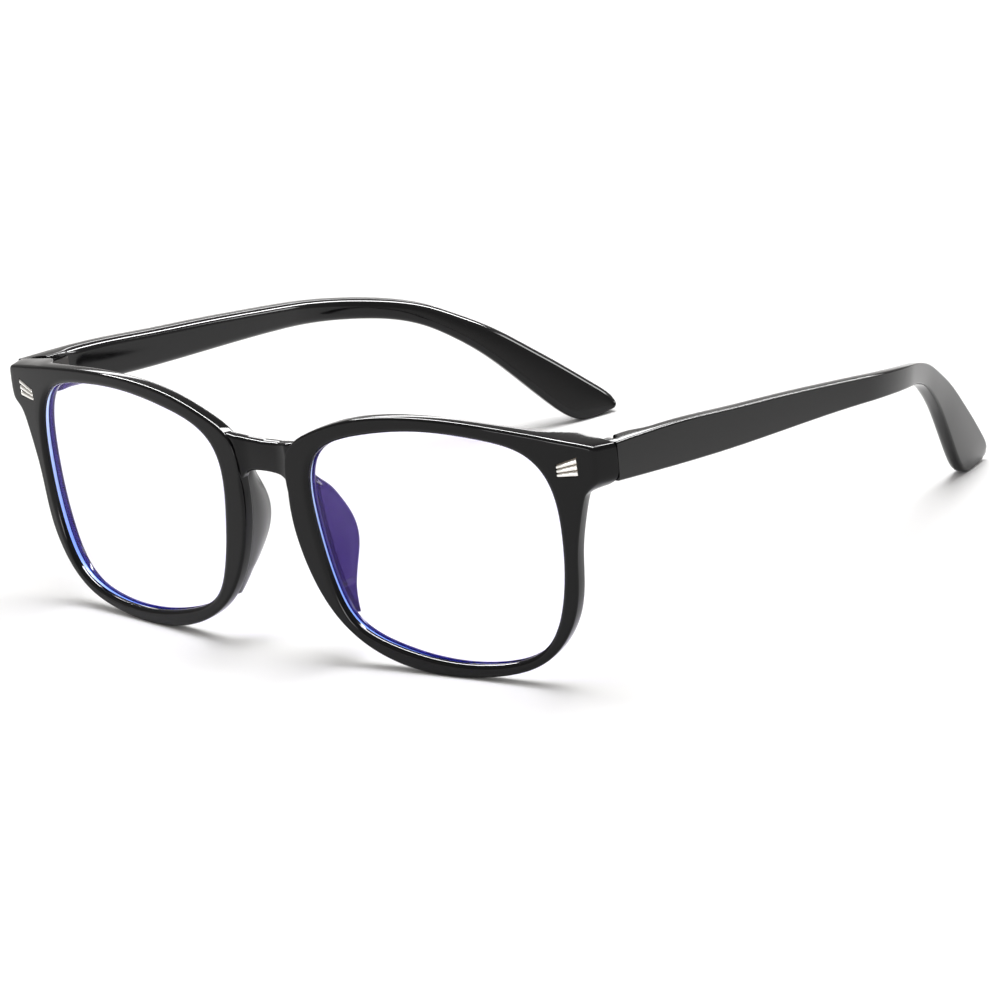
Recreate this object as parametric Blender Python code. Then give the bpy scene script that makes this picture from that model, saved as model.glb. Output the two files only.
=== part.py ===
"""Full-rim rectangular eyeglasses in black plastic with clear lenses.

The glasses stand open on a table, on the bottoms of the rims and on the temple tips. The front
faces -Y, +Z is up and +X is the wearer's left. Lengths below are in millimetres, and the meshes
are made in metres. Places on the front are given as u, the arc along its face-form curve from the
middle of the bridge, z, the height above its datum line, and t, the depth behind its front face.
"""

import math

import bmesh
import bpy
import numpy as np
from mathutils import Matrix, Vector

MM = 0.001

# The whole object
FACE_RADIUS = 280.0  # face-form curve of the front, seen from above
LEAN = math.radians(3.5)  # the top of the front leans forward
DATUM_HEIGHT = 24.42  # the front's datum line above the table
MIDDLE_Y = 76.53  # from the middle of the bridge back to the origin

# Front: outlines as (u, z)
LENS_CENTRE = (36.5, -0.5)
APERTURE = [
    (62.6, 2.5), (61.5, 12.3), (57.2, 17.7), (48.5, 20.1), (36.0, 20.8), (24.0, 19.3), (14.6, 16.0),
    (10.9, 10.5), (11.2, 0.0), (13.4, -9.9), (17.2, -16.5), (26.0, -20.3), (37.0, -22.0), (49.0, -21.2),
    (57.2, -17.3), (61.3, -8.5),
]
RIM_OUTLINE = [
    (8.0, 16.3), (13.5, 19.3), (21.0, 21.8), (30.0, 23.2), (41.0, 23.4), (55.0, 22.2), (69.2, 20.2),
    (70.7, 19.6), (71.0, 18.2), (71.0, 14.6), (70.4, 13.2), (69.0, 12.0), (67.9, 10.0), (66.6, 5.6),
    (65.4, 0.0), (64.6, -7.0), (62.8, -13.0), (59.0, -18.4), (53.0, -22.2), (43.0, -24.3), (32.0, -24.4),
    (21.5, -21.8), (14.0, -16.9), (9.4, -10.6), (6.7, -3.6), (5.6, 2.5), (5.6, 8.0), (6.1, 13.0),
]
THICKNESS = [(50.0, 2.8), (62.0, 3.5)]  # against u: the temporal sides are thicker
LIP = 0.8  # width of the bevel round each aperture
ROUNDING = 0.6  # outer edge of the front face
BACK_ROUNDING = 0.8  # outer edge of the back face
JOINT_ROUNDING = 0.1  # the same where the temple closes
GROOVE_FRONT = 1.1
GROOVE_BACK = 2.1
GROOVE_DEPTH = 0.65
RIM_STATIONS = 84

# Bridge
BRIDGE_REACH = 8.6  # half its length, ending inside the rims
BRIDGE_TOP = [(0.0, 15.6), (4.0, 15.75), (8.6, 16.4)]
BRIDGE_UNDERSIDE = [(0.0, 9.9), (3.4, 9.6), (5.4, 8.4), (6.6, 5.6), (8.6, 2.0)]
BRIDGE_RECESS = 0.9
BRIDGE_BACK = 3.2

# Endpieces and joint
JOINT_Y = 12.0  # back face of each endpiece, where the temple closes against it
ENDPIECE_FLARE = 1.75

# Lenses
LENS_FRONT = 1.18
LENS_BACK = 2.02
LENS_EDGE_REACH = 0.5  # how far the lens edge enters the groove
LENS_DOME = 0.6

# Temples: centre line as (y, z), with the distances from it up to the top and down to the bottom edge
TEMPLE_KEYS = [
    (12.15, 16.95, 3.5, 3.5), (30.0, 15.6, 3.85, 3.85), (45.0, 14.2, 3.6, 3.6), (60.0, 13.0, 3.2, 3.2),
    (75.0, 11.7, 2.7, 2.7), (90.0, 10.1, 2.3, 2.3), (100.0, 8.6, 2.1, 2.1), (108.0, 6.9, 2.0, 2.0),
    (115.0, 4.4, 2.1, 2.1), (121.1, 0.9, 2.35, 2.35), (128.2, -4.1, 2.95, 2.95), (135.2, -10.3, 3.7, 3.7),
    (141.1, -15.8, 4.35, 4.35), (146.5, -20.9, 4.8, 3.9), (149.0, -23.2, 4.9, 1.6),
    (151.0, -25.0, 4.5, -1.3), (151.6, -25.5, 3.9, -2.4),
]
TEMPLE_OUTER_X = 72.0
TEMPLE_BEND_Y = 84.0  # the temple is straight up to here, then bends in towards the ear
TEMPLE_BEND_RADIUS = 50.0
TEMPLE_BEND = math.radians(23.5)
TEMPLE_WIDTHS = [(12.0, 4.0), (19.0, 4.0), (23.0, 3.6), (110.0, 3.3), (150.0, 3.0)]  # against y
TEMPLE_STATIONS = 44
TIP_STATIONS = 12
TEMPLE_OUTER_ROUNDING = 0.45
TEMPLE_INNER_ROUNDING = [(19.0, 0.4), (23.0, 1.5)]  # the hinge block keeps square corners

# Hinges: three coaxial knuckles on a vertical screw
PIN_X = 68.3
PIN_Y = 14.3
KNUCKLE_RADIUS = 1.35
KNUCKLE_BORE = 0.68
SCREW_RADIUS = 0.6
KNUCKLES = [(15.0, 16.5), (16.6, 18.1), (18.2, 19.5)]  # bottom to top, above the datum line
NOTCH_RADIUS = 1.7
LEAF_REACH = 6.5  # from the pin back along the temple
LEAF_TOP = 19.0
HINGE_SIDES = 20

# Rivet plaques on the front: a fan of three bars, narrow towards the lens
PLAQUE_U = (63.5, 67.6)
PLAQUE_Z = 15.8
PLAQUE_SPREAD = (2.2, 3.4)  # height of the fan at its narrow and wide ends
PLAQUE_RISE = 0.9  # the wide end stands this much higher than the narrow one
BAR_SHARE = 0.84  # a bar's height over the bars' pitch
BAR_RISE = 0.2

# Nose pads: back edge of each pad as (x, y, z)
PAD_EDGE = [
    (7.6, 5.2, 9.0), (8.9, 7.0, 7.0), (9.6, 9.2, 4.0), (10.3, 11.2, 0.0), (11.0, 11.4, -4.0),
    (11.7, 9.7, -8.0), (12.8, 7.6, -12.0), (14.4, 6.2, -15.8),
]
PAD_ROOT = 2.6  # thickness where a pad meets the rim
PAD_GAP = 0.06
PAD_TIP = 1.3
PAD_STATIONS = 22

BLACK = (0.012, 0.012, 0.014)
STEEL = (0.62, 0.60, 0.57)


# ---------------------------------------------------------------- curves

def cubic(points, closed=False):
    """A function of 0..1 that passes smoothly through the points, with the knots' values."""
    p = np.array(points, float)
    if closed:
        p = np.vstack([p, p[:1]])
    steps = np.linalg.norm(np.diff(p[:, :2], axis=0), axis=1) ** 0.5
    knots = np.concatenate([[0], np.cumsum(steps)]) / steps.sum()
    h = np.diff(knots)
    slope = np.diff(p, axis=0) / h[:, None]
    n = len(p)
    a = np.eye(n)
    b = np.zeros_like(p)
    for i in range(1, n - 1):
        a[i, i - 1:i + 2] = h[i - 1], 2 * (h[i - 1] + h[i]), h[i]
        b[i] = 6 * (slope[i] - slope[i - 1])
    if closed:
        a[0, [0, 1, -2]] = 2 * (h[-1] + h[0]), h[0], h[-1]
        b[0] = 6 * (slope[0] - slope[-1])
        a[-1, [0, -1]] = -1, 1
    bends = np.linalg.solve(a, b)

    def at(s):
        s = np.atleast_1d(s)
        i = np.clip(np.searchsorted(knots, s, side="right") - 1, 0, n - 2)
        x, k = (s - knots[i])[:, None], h[i][:, None]
        m0, m1 = bends[i], bends[i + 1]
        tangent = slope[i] - k * (2 * m0 + m1) / 6
        return p[i] + x * tangent + x ** 2 * m0 / 2 + x ** 3 * (m1 - m0) / (6 * k)

    return at


def smooth(low, high, value):
    """0 below low, 1 above high, and an S-curve between."""
    x = np.clip((value - low) / (high - low), 0, 1)
    return x * x * (3 - 2 * x)


def outward(loop):
    """Unit normals of a closed loop of (u, z) points, pointing out of it."""
    along = np.roll(loop, -1, axis=0) - np.roll(loop, 1, axis=0)
    normal = np.stack([along[:, 1], -along[:, 0]], axis=1)
    normal /= np.linalg.norm(normal, axis=1)[:, None]
    area = (loop[:, 0] * np.roll(loop[:, 1], -1) - loop[:, 1] * np.roll(loop[:, 0], -1)).sum()
    return normal * math.copysign(1, area)


def stations(loop, count, turn_share=0.35):
    """Points spread along a dense closed loop, closer together where it turns."""
    along = np.roll(loop, -1, axis=0) - loop
    length = np.linalg.norm(along, axis=1)
    heading = np.unwrap(np.arctan2(along[:, 1], along[:, 0]))
    turn = np.abs(np.diff(heading, append=heading[-1]))
    weight = (1 - turn_share) * length / length.sum() + turn_share * turn / turn.sum()
    place = np.concatenate([[0], np.cumsum(weight)])
    wanted = np.arange(count) / count * place[-1]
    whole = np.vstack([loop, loop[:1]])
    return np.stack([np.interp(wanted, place, whole[:, k]) for k in (0, 1)], axis=1)


# ---------------------------------------------------------------- the front's curved space

def thickness_at(u):
    return float(np.interp(u, *zip(*THICKNESS)))


def at_joint(u, z):
    """1 on the endpiece's block, where the temple closes against it, and 0 away from it."""
    return smooth(59.5, 63.5, u) * smooth(9.0, 12.5, z)


def on_front(u, z, t, block=0.0):
    """Place of (u, z, t). Where block is 1 the depth runs straight back to the joint plane."""
    turn = u / FACE_RADIUS
    x = (FACE_RADIUS - t) * math.sin(turn)
    y = FACE_RADIUS - (FACE_RADIUS - t) * math.cos(turn)
    bent = np.array([x, y * math.cos(LEAN) - z * math.sin(LEAN), z * math.cos(LEAN) + y * math.sin(LEAN)])
    w = block * at_joint(u, z)
    if w == 0 or t == 0:
        return bent
    face = on_front(u, z, 0)
    share = t / thickness_at(u)
    flare = ENDPIECE_FLARE * smooth(65.5, 71.0, u)
    straight = face + share * np.array([flare, JOINT_Y - face[1], 0.0])
    return bent + w * (straight - bent)


# ---------------------------------------------------------------- meshes

def new_object(name, rings, material, closed_along=False):
    """A closed solid lofted through rings of places, each ring a closed loop of the same count."""
    bm = bmesh.new()
    made = [[bm.verts.new(to_world(p)) for p in ring] for ring in rings]
    pairs = list(zip(made, made[1:] + made[:1])) if closed_along else list(zip(made, made[1:]))
    for one, two in pairs:
        for k in range(len(one)):
            j = (k + 1) % len(one)
            bm.faces.new((one[k], two[k], two[j], one[j]))
    if not closed_along:
        bm.faces.new(list(reversed(made[0])))
        bm.faces.new(made[-1])
    bmesh.ops.recalc_face_normals(bm, faces=bm.faces)
    return finish(name, bm, material)


def to_world(place):
    """Metres, with the origin under the middle of the object and the table at zero."""
    return (place[0] * MM, (place[1] - MIDDLE_Y) * MM, (place[2] + DATUM_HEIGHT) * MM)


def finish(name, bm, material):
    mesh = bpy.data.meshes.new(name)
    bm.to_mesh(mesh)
    bm.free()
    mesh.shade_smooth()
    mesh.set_sharp_from_angle(angle=math.radians(35))
    mesh.materials.append(material)
    obj = bpy.data.objects.new(name, mesh)
    parts.objects.link(obj)
    return obj


def mirrored(obj, name):
    """The same piece on the other side of the object."""
    bm = bmesh.new()
    bm.from_mesh(obj.data)
    for vert in bm.verts:
        vert.co.x = -vert.co.x
    bmesh.ops.reverse_faces(bm, faces=bm.faces)
    return finish(name, bm, obj.data.materials[0])


def put_origin_on_pin(obj, side):
    """Moves the origin of a moving piece to its hinge's axis, with the piece left in place."""
    pin = Vector(to_world((side * PIN_X, PIN_Y, KNUCKLES[1][0])))
    obj.data.transform(Matrix.Translation(-pin))
    obj.location = pin


def as_cutter(obj):
    parts.objects.unlink(obj)
    cutters.objects.link(obj)
    obj.hide_render = True
    obj.display_type = "WIRE"
    return obj


def boolean(obj, other, operation):
    """Applies one Boolean of a cutter to the object's mesh."""
    modifier = obj.modifiers.new(operation.title(), "BOOLEAN")
    modifier.operation = operation
    modifier.object = other
    bpy.context.view_layer.update()
    evaluated = obj.evaluated_get(bpy.context.evaluated_depsgraph_get())
    mesh = bpy.data.meshes.new_from_object(evaluated)
    obj.modifiers.clear()
    old = obj.data
    obj.data = mesh
    bpy.data.meshes.remove(old)
    mesh.name = obj.name
    mesh.shade_smooth()
    mesh.set_sharp_from_angle(angle=math.radians(35))


def box(name, low, high, material, bevel=0.0):
    bm = bmesh.new()
    bmesh.ops.create_cube(bm, size=1)
    low, high = np.array(to_world(low)), np.array(to_world(high))
    for vert in bm.verts:
        vert.co = (low + high) / 2 + np.array(vert.co) * (high - low)
    if bevel:
        bmesh.ops.bevel(bm, geom=bm.edges, offset=bevel * MM, segments=2, profile=0.5, affect="EDGES")
    return finish(name, bm, material)


def upright_cylinder(name, centre, radius, bottom, top, material, sides=HINGE_SIDES):
    turns = [2 * math.pi * k / sides for k in range(sides)]
    rings = [
        [(centre[0] + radius * math.cos(a), centre[1] + radius * math.sin(a), z) for a in turns]
        for z in (bottom, top)
    ]
    return new_object(name, rings, material)


def plain_material(name, colour, roughness, metallic=0.0, alpha=1.0):
    material = bpy.data.materials.new(name)
    material.use_nodes = True
    shader = material.node_tree.nodes["Principled BSDF"]
    shader.inputs["Base Color"].default_value = (*colour, 1)
    shader.inputs["Roughness"].default_value = roughness
    shader.inputs["Metallic"].default_value = metallic
    shader.inputs["Alpha"].default_value = alpha
    return material


# ---------------------------------------------------------------- front frame

def rim_section(inner, inner_out, outer, outer_out):
    """One rim section as (u, z, t, block) round from the lens groove's front lip."""
    back_face = thickness_at((inner[0] + outer[0]) / 2)

    def at_inner(offset, t):
        return (*(inner + inner_out * offset), t, 0.0)

    def at_outer(offset, t):
        return (*(outer - outer_out * offset), t, 1.0)

    lip = inner + inner_out * LIP
    back_rounding = BACK_ROUNDING + (JOINT_ROUNDING - BACK_ROUNDING) * at_joint(*outer)
    front_edge, back_edge = outer - outer_out * ROUNDING, outer - outer_out * back_rounding
    front = [(*(lip + (front_edge - lip) * f), 0.0, 0.0) for f in (0.35, 0.7)]
    back = [
        (*(lip + (back_edge - lip) * f), back_face, float(smooth(0.04, 0.3, f)))
        for f in (0.85, 0.6, 0.3, 0.12)
    ]
    return [
        at_inner(0, GROOVE_FRONT),
        at_inner(0.05, 0.9),
        at_inner(0.4, 0.25),
        at_inner(LIP, 0),
        *front,
        at_outer(ROUNDING, 0),
        at_outer(0.15, 0.18),
        at_outer(0, ROUNDING),
        at_outer(0, back_face - back_rounding),
        at_outer(0.12 * back_rounding, back_face - 0.5 * back_rounding),
        at_outer(0.5 * back_rounding, back_face - 0.12 * back_rounding),
        at_outer(back_rounding, back_face),
        *back,
        at_inner(LIP, back_face),
        at_inner(0.3, back_face - 0.3),
        at_inner(0, GROOVE_BACK),
        at_inner(GROOVE_DEPTH, GROOVE_BACK - 0.1),
        at_inner(GROOVE_DEPTH, GROOVE_FRONT + 0.1),
    ]


def aperture_at(directions):
    """Aperture points seen from the lens centre in the given directions."""
    dense = cubic(APERTURE, closed=True)(np.linspace(0, 1, 1200, endpoint=False))
    angle = np.arctan2(dense[:, 1] - LENS_CENTRE[1], dense[:, 0] - LENS_CENTRE[0])
    order = np.argsort(angle)
    angle, dense = angle[order], dense[order]
    columns = [np.interp(directions, angle, dense[:, k], period=2 * math.pi) for k in (0, 1)]
    return np.stack(columns, axis=1)


def build_rim(name, material):
    dense = cubic(RIM_OUTLINE, closed=True)(np.linspace(0, 1, 1600, endpoint=False))
    outer = stations(dense, RIM_STATIONS)
    direction = np.arctan2(outer[:, 1] - LENS_CENTRE[1], outer[:, 0] - LENS_CENTRE[0])
    inner = aperture_at(direction)
    sections = zip(inner, outward(inner), outer, outward(outer))
    rings = [[on_front(*point) for point in rim_section(*section)] for section in sections]
    return new_object(name, rings, material, closed_along=True)


def bridge_section(u):
    """Section of the bridge at u: front face, rounded edges and back, as places."""
    reach = abs(u)
    top = np.interp(reach, *zip(*BRIDGE_TOP))
    bottom = np.interp(reach, *zip(*BRIDGE_UNDERSIDE))
    front = BRIDGE_RECESS * (1 - 0.35 * (reach / BRIDGE_REACH) ** 2)
    back = BRIDGE_BACK - 1.15 * (reach / BRIDGE_REACH) ** 2
    r = ROUNDING
    cut = 0.3 * r
    outline = [
        (front, bottom + r), (front, (top + bottom) / 2), (front, top - r), (front + cut, top - cut),
        (front + r, top), (back - r, top), (back - cut, top - cut), (back, top - r),
        (back, bottom + r), (back - cut, bottom + cut), (back - r, bottom), (front + r, bottom),
        (front + cut, bottom + cut),
    ]
    return [on_front(u, z, t) for t, z in outline]


def build_front(material):
    front = build_rim("front_frame", material)
    other = as_cutter(mirrored(front, "right_rim"))
    reach = np.linspace(-BRIDGE_REACH, BRIDGE_REACH, 19)
    bridge = as_cutter(new_object("bridge", [bridge_section(u) for u in reach], material))
    boolean(front, bridge, "UNION")
    boolean(front, other, "UNION")
    return front


# ---------------------------------------------------------------- lenses

def build_lens(name, material):
    turns = np.linspace(-math.pi, math.pi, 60, endpoint=False)
    edge = aperture_at(turns)
    edge = edge + outward(edge) * LENS_EDGE_REACH
    centre = np.array(LENS_CENTRE)
    shares = (1.0, 0.72, 0.4, 0.12)

    def ring(share, t):
        dome = LENS_DOME * (1 - share ** 2)
        return [on_front(*(centre + (p - centre) * share), t - dome) for p in edge]

    front = [ring(s, LENS_FRONT) for s in reversed(shares)]
    back = [ring(s, LENS_BACK) for s in shares]
    return new_object(name, front + back, material)


# ---------------------------------------------------------------- temples

def temple_turn(y):
    """How far the temple has turned inwards at y."""
    return math.asin(np.clip((y - TEMPLE_BEND_Y) / TEMPLE_BEND_RADIUS, 0.0, math.sin(TEMPLE_BEND)))


def temple_outer_x(y):
    """The outer face's x: straight behind the hinge, an arc, then straight again."""
    turn = temple_turn(y)
    arc_end = TEMPLE_BEND_Y + TEMPLE_BEND_RADIUS * math.sin(TEMPLE_BEND)
    drop = TEMPLE_BEND_RADIUS * (1 - math.cos(turn)) + max(0.0, y - arc_end) * math.tan(TEMPLE_BEND)
    return TEMPLE_OUTER_X - drop


def temple_inward(y):
    """Horizontal unit direction from the outer face to the inner one."""
    turn = temple_turn(y)
    return np.array([-math.cos(turn), -math.sin(turn), 0.0])


def temple_section(width, bottom, top, outer_radius, inner_radius):
    """Section as (across, up) points, across from 0 on the outer face to width on the inner one."""
    most = 0.45 * min(width, top - bottom)
    outer, inner = min(outer_radius, most), min(inner_radius, most)
    corners = ((outer, top - outer, outer, 90), (outer, bottom + outer, outer, 180),
               (width - inner, bottom + inner, inner, 270), (width - inner, top - inner, inner, 0))
    points = []
    for across, up, radius, start in corners:
        for turn in (0, 30, 60, 90):
            angle = math.radians(start + turn)
            points.append((across + radius * math.cos(angle), up + radius * math.sin(angle)))
    return points


def build_temple(name, material):
    line = cubic(TEMPLE_KEYS)
    straight = np.linspace(0, 0.8, TEMPLE_STATIONS - TIP_STATIONS, endpoint=False)
    places = np.concatenate([straight, np.linspace(0.8, 1, TIP_STATIONS)])
    rings = []
    for s in places:
        y, z, up, down = line(s)[0]
        ahead = line(min(1, s + 0.002))[0][:2] - line(max(0, s - 0.002))[0][:2]
        ahead = np.array([1.0, 0.0]) if s == 0 else ahead / np.linalg.norm(ahead)
        rise = np.array([0.0, -ahead[1], ahead[0]])
        width = np.interp(y, *zip(*TEMPLE_WIDTHS))
        base = np.array([temple_outer_x(y), y, z])
        inner_rounding = np.interp(y, *zip(*TEMPLE_INNER_ROUNDING))
        section = temple_section(width, -down, up, TEMPLE_OUTER_ROUNDING, inner_rounding)
        rings.append([base + temple_inward(y) * across + rise * height for across, height in section])
    temple = new_object(name, rings, material)
    low, high = KNUCKLES[0][0] - 0.4, KNUCKLES[-1][1] + 5
    notch = upright_cylinder(name + "_notch", (PIN_X, PIN_Y), NOTCH_RADIUS, low, high, material)
    slot = box(name + "_slot", (PIN_X - 5, JOINT_Y - 1, low), (PIN_X + 0.9, PIN_Y, high), material)
    bed_end = (PIN_X + 0.2, PIN_Y + LEAF_REACH + 0.2, LEAF_TOP + 0.2)
    bed = box(name + "_bed", (PIN_X - 5, PIN_Y, low), bed_end, material)
    for cutter in (notch, slot, bed):
        boolean(temple, as_cutter(cutter), "DIFFERENCE")
    return temple


# ---------------------------------------------------------------- hinges

def knuckle(name, number, material):
    bottom, top = KNUCKLES[number]
    return upright_cylinder(name, (PIN_X, PIN_Y), KNUCKLE_RADIUS, bottom, top, material)


def drill_pin_hole(leaf, material):
    bottom, top = KNUCKLES[0][0] - 1, KNUCKLES[-1][1] + 1
    bore = upright_cylinder(leaf.name + "_bore", (PIN_X, PIN_Y), KNUCKLE_BORE, bottom, top, material)
    boolean(leaf, as_cutter(bore), "DIFFERENCE")


def build_front_leaf(name, material):
    """Two knuckles on a plate that lies on the back of the endpiece."""
    low, high = KNUCKLES[0][0], KNUCKLES[2][1]
    leaf = box(name, (65.0, JOINT_Y + 0.05, low), (PIN_X - 0.3, JOINT_Y + 0.85, high), material)
    for number in (0, 2):
        bottom, top = KNUCKLES[number]
        strap_low, strap_high = (PIN_X - 1.3, JOINT_Y + 0.5, bottom), (PIN_X - 0.1, PIN_Y, top)
        strap = box(f"{name}_strap_{number}", strap_low, strap_high, material)
        boolean(leaf, as_cutter(strap), "UNION")
        boolean(leaf, as_cutter(knuckle(f"{name}_knuckle_{number}", number, material)), "UNION")
    drill_pin_hole(leaf, material)
    return leaf


def build_temple_leaf(name, material):
    """The middle knuckle on a plate that lies along the temple's inner face."""
    bottom, top = KNUCKLES[1]
    leaf = knuckle(name, 1, material)
    strap = box(name + "_strap", (PIN_X - 1.3, PIN_Y, bottom), (PIN_X - 0.1, PIN_Y + 3.5, top), material)
    plate_low = (PIN_X - 0.75, PIN_Y + 2.0, KNUCKLES[0][0])
    plate = box(name + "_plate", plate_low, (PIN_X + 0.1, PIN_Y + LEAF_REACH, LEAF_TOP), material)
    boolean(leaf, as_cutter(strap), "UNION")
    boolean(leaf, as_cutter(plate), "UNION")
    drill_pin_hole(leaf, material)
    return leaf


def build_screw(name, material):
    """A shaft with a round slotted head, as (radius, height) points turned about the pin's axis."""
    low, high = KNUCKLES[0][0], KNUCKLES[2][1]
    profile = [
        (SCREW_RADIUS, low + 0.1), (SCREW_RADIUS, high + 0.05), (1.0, high + 0.08),
        (1.0, high + 0.4), (0.7, high + 0.55),
    ]
    turns = [2 * math.pi * k / HINGE_SIDES for k in range(HINGE_SIDES)]
    rings = [[(PIN_X + r * math.cos(a), PIN_Y + r * math.sin(a), z) for a in turns] for r, z in profile]
    screw = new_object(name, rings, material)
    slot_low, slot_high = (PIN_X - 2, PIN_Y - 0.12, high + 0.35), (PIN_X + 2, PIN_Y + 0.12, high + 1)
    slot = as_cutter(box(name + "_slot", slot_low, slot_high, material))
    boolean(screw, slot, "DIFFERENCE")
    return screw


# ---------------------------------------------------------------- rivet plaques

def plaque_spread(share):
    """Height of the fan at a share of its length from the lens side."""
    return PLAQUE_SPREAD[0] + (PLAQUE_SPREAD[1] - PLAQUE_SPREAD[0]) * share


def plaque_middle(share):
    """Middle height of the fan at a share of its length from the lens side."""
    return PLAQUE_Z + PLAQUE_RISE * (share - 0.5)


def plaque_wedge(name, grow, depth_front, depth_back, material):
    """A wedge-shaped plate through the front face, narrow towards the lens."""
    near, far = PLAQUE_U[0] - grow, PLAQUE_U[1] + grow
    near_half, far_half = plaque_spread(0) / 2 + grow, plaque_spread(1) / 2 + grow
    loop = [
        (near, plaque_middle(0) - near_half), (far, plaque_middle(1) - far_half),
        (far, plaque_middle(1) + far_half), (near, plaque_middle(0) + near_half),
    ]
    return new_object(name, [[on_front(*p, t) for p in loop] for t in (depth_front, depth_back)], material)


def build_plaque(name, material):
    plaque = plaque_wedge(name, 0.0, 0.1, 0.45, material)
    length = PLAQUE_U[1] - PLAQUE_U[0]
    for number in (-1, 0, 1):
        rings = []
        for share in (0.02, 0.5, 0.98):
            u = PLAQUE_U[0] + length * share
            pitch = plaque_spread(share) / 3
            middle, half = plaque_middle(share) + number * pitch, BAR_SHARE * pitch / 2
            outline = [
                (-half, 0.3), (-half, 0.05), (-0.5 * half, -BAR_RISE),
                (0.5 * half, -BAR_RISE), (half, 0.05), (half, 0.3),
            ]
            rings.append([on_front(u, middle + z, t) for z, t in outline])
        boolean(plaque, as_cutter(new_object(f"{name}_bar_{number + 1}", rings, material)), "UNION")
    return plaque


def build_plaques(front, left_name, right_name, material):
    """Both plaques, with their pockets cut in the front."""
    pocket = as_cutter(plaque_wedge("plaque_pocket_left", 0.06, -1.0, 0.52, material))
    boolean(front, pocket, "DIFFERENCE")
    other = mirrored(pocket, "plaque_pocket_right")
    boolean(front, as_cutter(other), "DIFFERENCE")
    left = build_plaque(left_name, material)
    return [left, mirrored(left, right_name)]


# ---------------------------------------------------------------- nose pads

def build_pad(name, material):
    """A fin that stands on the back of the rim's nose side and splays outwards."""
    edge = cubic([(p[2], p[1], p[0]) for p in PAD_EDGE])
    nasal = cubic(RIM_OUTLINE, closed=True)(np.linspace(0, 1, 1600, endpoint=False))
    nasal = nasal[(nasal[:, 0] < 20) & (nasal[:, 1] < 14)]
    nasal = nasal[np.argsort(nasal[:, 1])]
    rings = []
    for s in np.linspace(0.0, 1.0, PAD_STATIONS):
        z, tip_y, tip_x = edge(s)[0]
        wall = np.interp(z, nasal[:, 1], nasal[:, 0])
        seat = thickness_at(wall) + PAD_GAP
        corner, root, far_root = (on_front(wall + across, z, seat) for across in (0.1, 1.1, PAD_ROOT))
        tip = np.array([tip_x, max(tip_y, root[1] + 0.7), z])
        axis = tip - root
        axis[2] = 0
        axis /= np.linalg.norm(axis)
        side = np.array([axis[1], -axis[0], 0])
        half = min(PAD_TIP / 2, 0.35 * np.linalg.norm(tip - root))
        near, far = tip - side * half - axis * half, tip + side * half - axis * half
        rings.append([
            corner, (corner + near) / 2 - side * 0.3, near,
            tip - side * half * 0.6 - axis * half * 0.3, tip, tip + side * half * 0.6 - axis * half * 0.3,
            far, (far + far_root) / 2 + side * 0.3, far_root, root,
        ])
    return new_object(name, rings, material)


# ---------------------------------------------------------------- assembly

for old in list(bpy.data.objects):
    bpy.data.objects.remove(old)

parts = bpy.data.collections.new("eyeglasses")
cutters = bpy.data.collections.new("cutters")
bpy.context.scene.collection.children.link(parts)
bpy.context.scene.collection.children.link(cutters)

frame_plastic = plain_material("frame_plastic", BLACK, 0.12)
pad_plastic = plain_material("pad_plastic", BLACK, 0.2)
lens_plastic = plain_material("lens_plastic", (0.9, 0.92, 1.0), 0.02, alpha=0.2)
plaque_metal = plain_material("plaque_metal", (0.85, 0.83, 0.8), 0.2, metallic=1.0)
hinge_metal = plain_material("hinge_metal", STEEL, 0.35, metallic=1.0)

front_frame = build_front(frame_plastic)
build_plaques(front_frame, "rivet_plaque_left", "rivet_plaque_right", plaque_metal)
for piece, builder, material, turns_with_temple in (
    ("lens", build_lens, lens_plastic, False),
    ("nose_pad", build_pad, pad_plastic, False),
    ("temple", build_temple, frame_plastic, True),
    ("hinge_front_leaf", build_front_leaf, hinge_metal, False),
    ("hinge_temple_leaf", build_temple_leaf, hinge_metal, True),
    ("hinge_screw", build_screw, hinge_metal, False),
):
    left = builder(piece + "_left", material)
    right = mirrored(left, piece + "_right")
    if turns_with_temple:
        put_origin_on_pin(left, 1)
        put_origin_on_pin(right, -1)
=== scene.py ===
"""Looks of the eyeglasses: fine meshes, materials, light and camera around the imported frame.

Lengths are in millimetres unless a name ends in _M. As in the frame's own design, places on the
front are given as u, the arc along its face-form curve from the middle of the bridge, z, the height
above its datum line, and t, the depth behind its front face.
"""

import math

import bmesh
import bpy
import numpy as np
from mathutils import Euler, Matrix, Vector


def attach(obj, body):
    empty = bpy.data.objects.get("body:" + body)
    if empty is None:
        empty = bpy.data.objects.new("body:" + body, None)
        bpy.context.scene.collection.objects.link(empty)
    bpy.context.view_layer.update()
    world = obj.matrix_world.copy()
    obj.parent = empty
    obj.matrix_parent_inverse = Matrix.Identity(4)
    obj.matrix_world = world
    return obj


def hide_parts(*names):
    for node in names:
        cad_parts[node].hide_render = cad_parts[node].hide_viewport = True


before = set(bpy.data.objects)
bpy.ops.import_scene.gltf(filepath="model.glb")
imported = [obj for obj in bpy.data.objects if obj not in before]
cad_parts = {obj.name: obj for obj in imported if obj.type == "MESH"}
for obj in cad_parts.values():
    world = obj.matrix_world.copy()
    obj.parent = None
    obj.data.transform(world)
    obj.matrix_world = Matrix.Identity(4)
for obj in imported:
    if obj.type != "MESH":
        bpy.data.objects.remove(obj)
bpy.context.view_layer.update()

MM = 0.001

# The whole object
FACE_RADIUS = 280.0
LEAN = math.radians(3.5)
DATUM_HEIGHT = 24.42
MIDDLE_Y = 76.53

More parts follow.
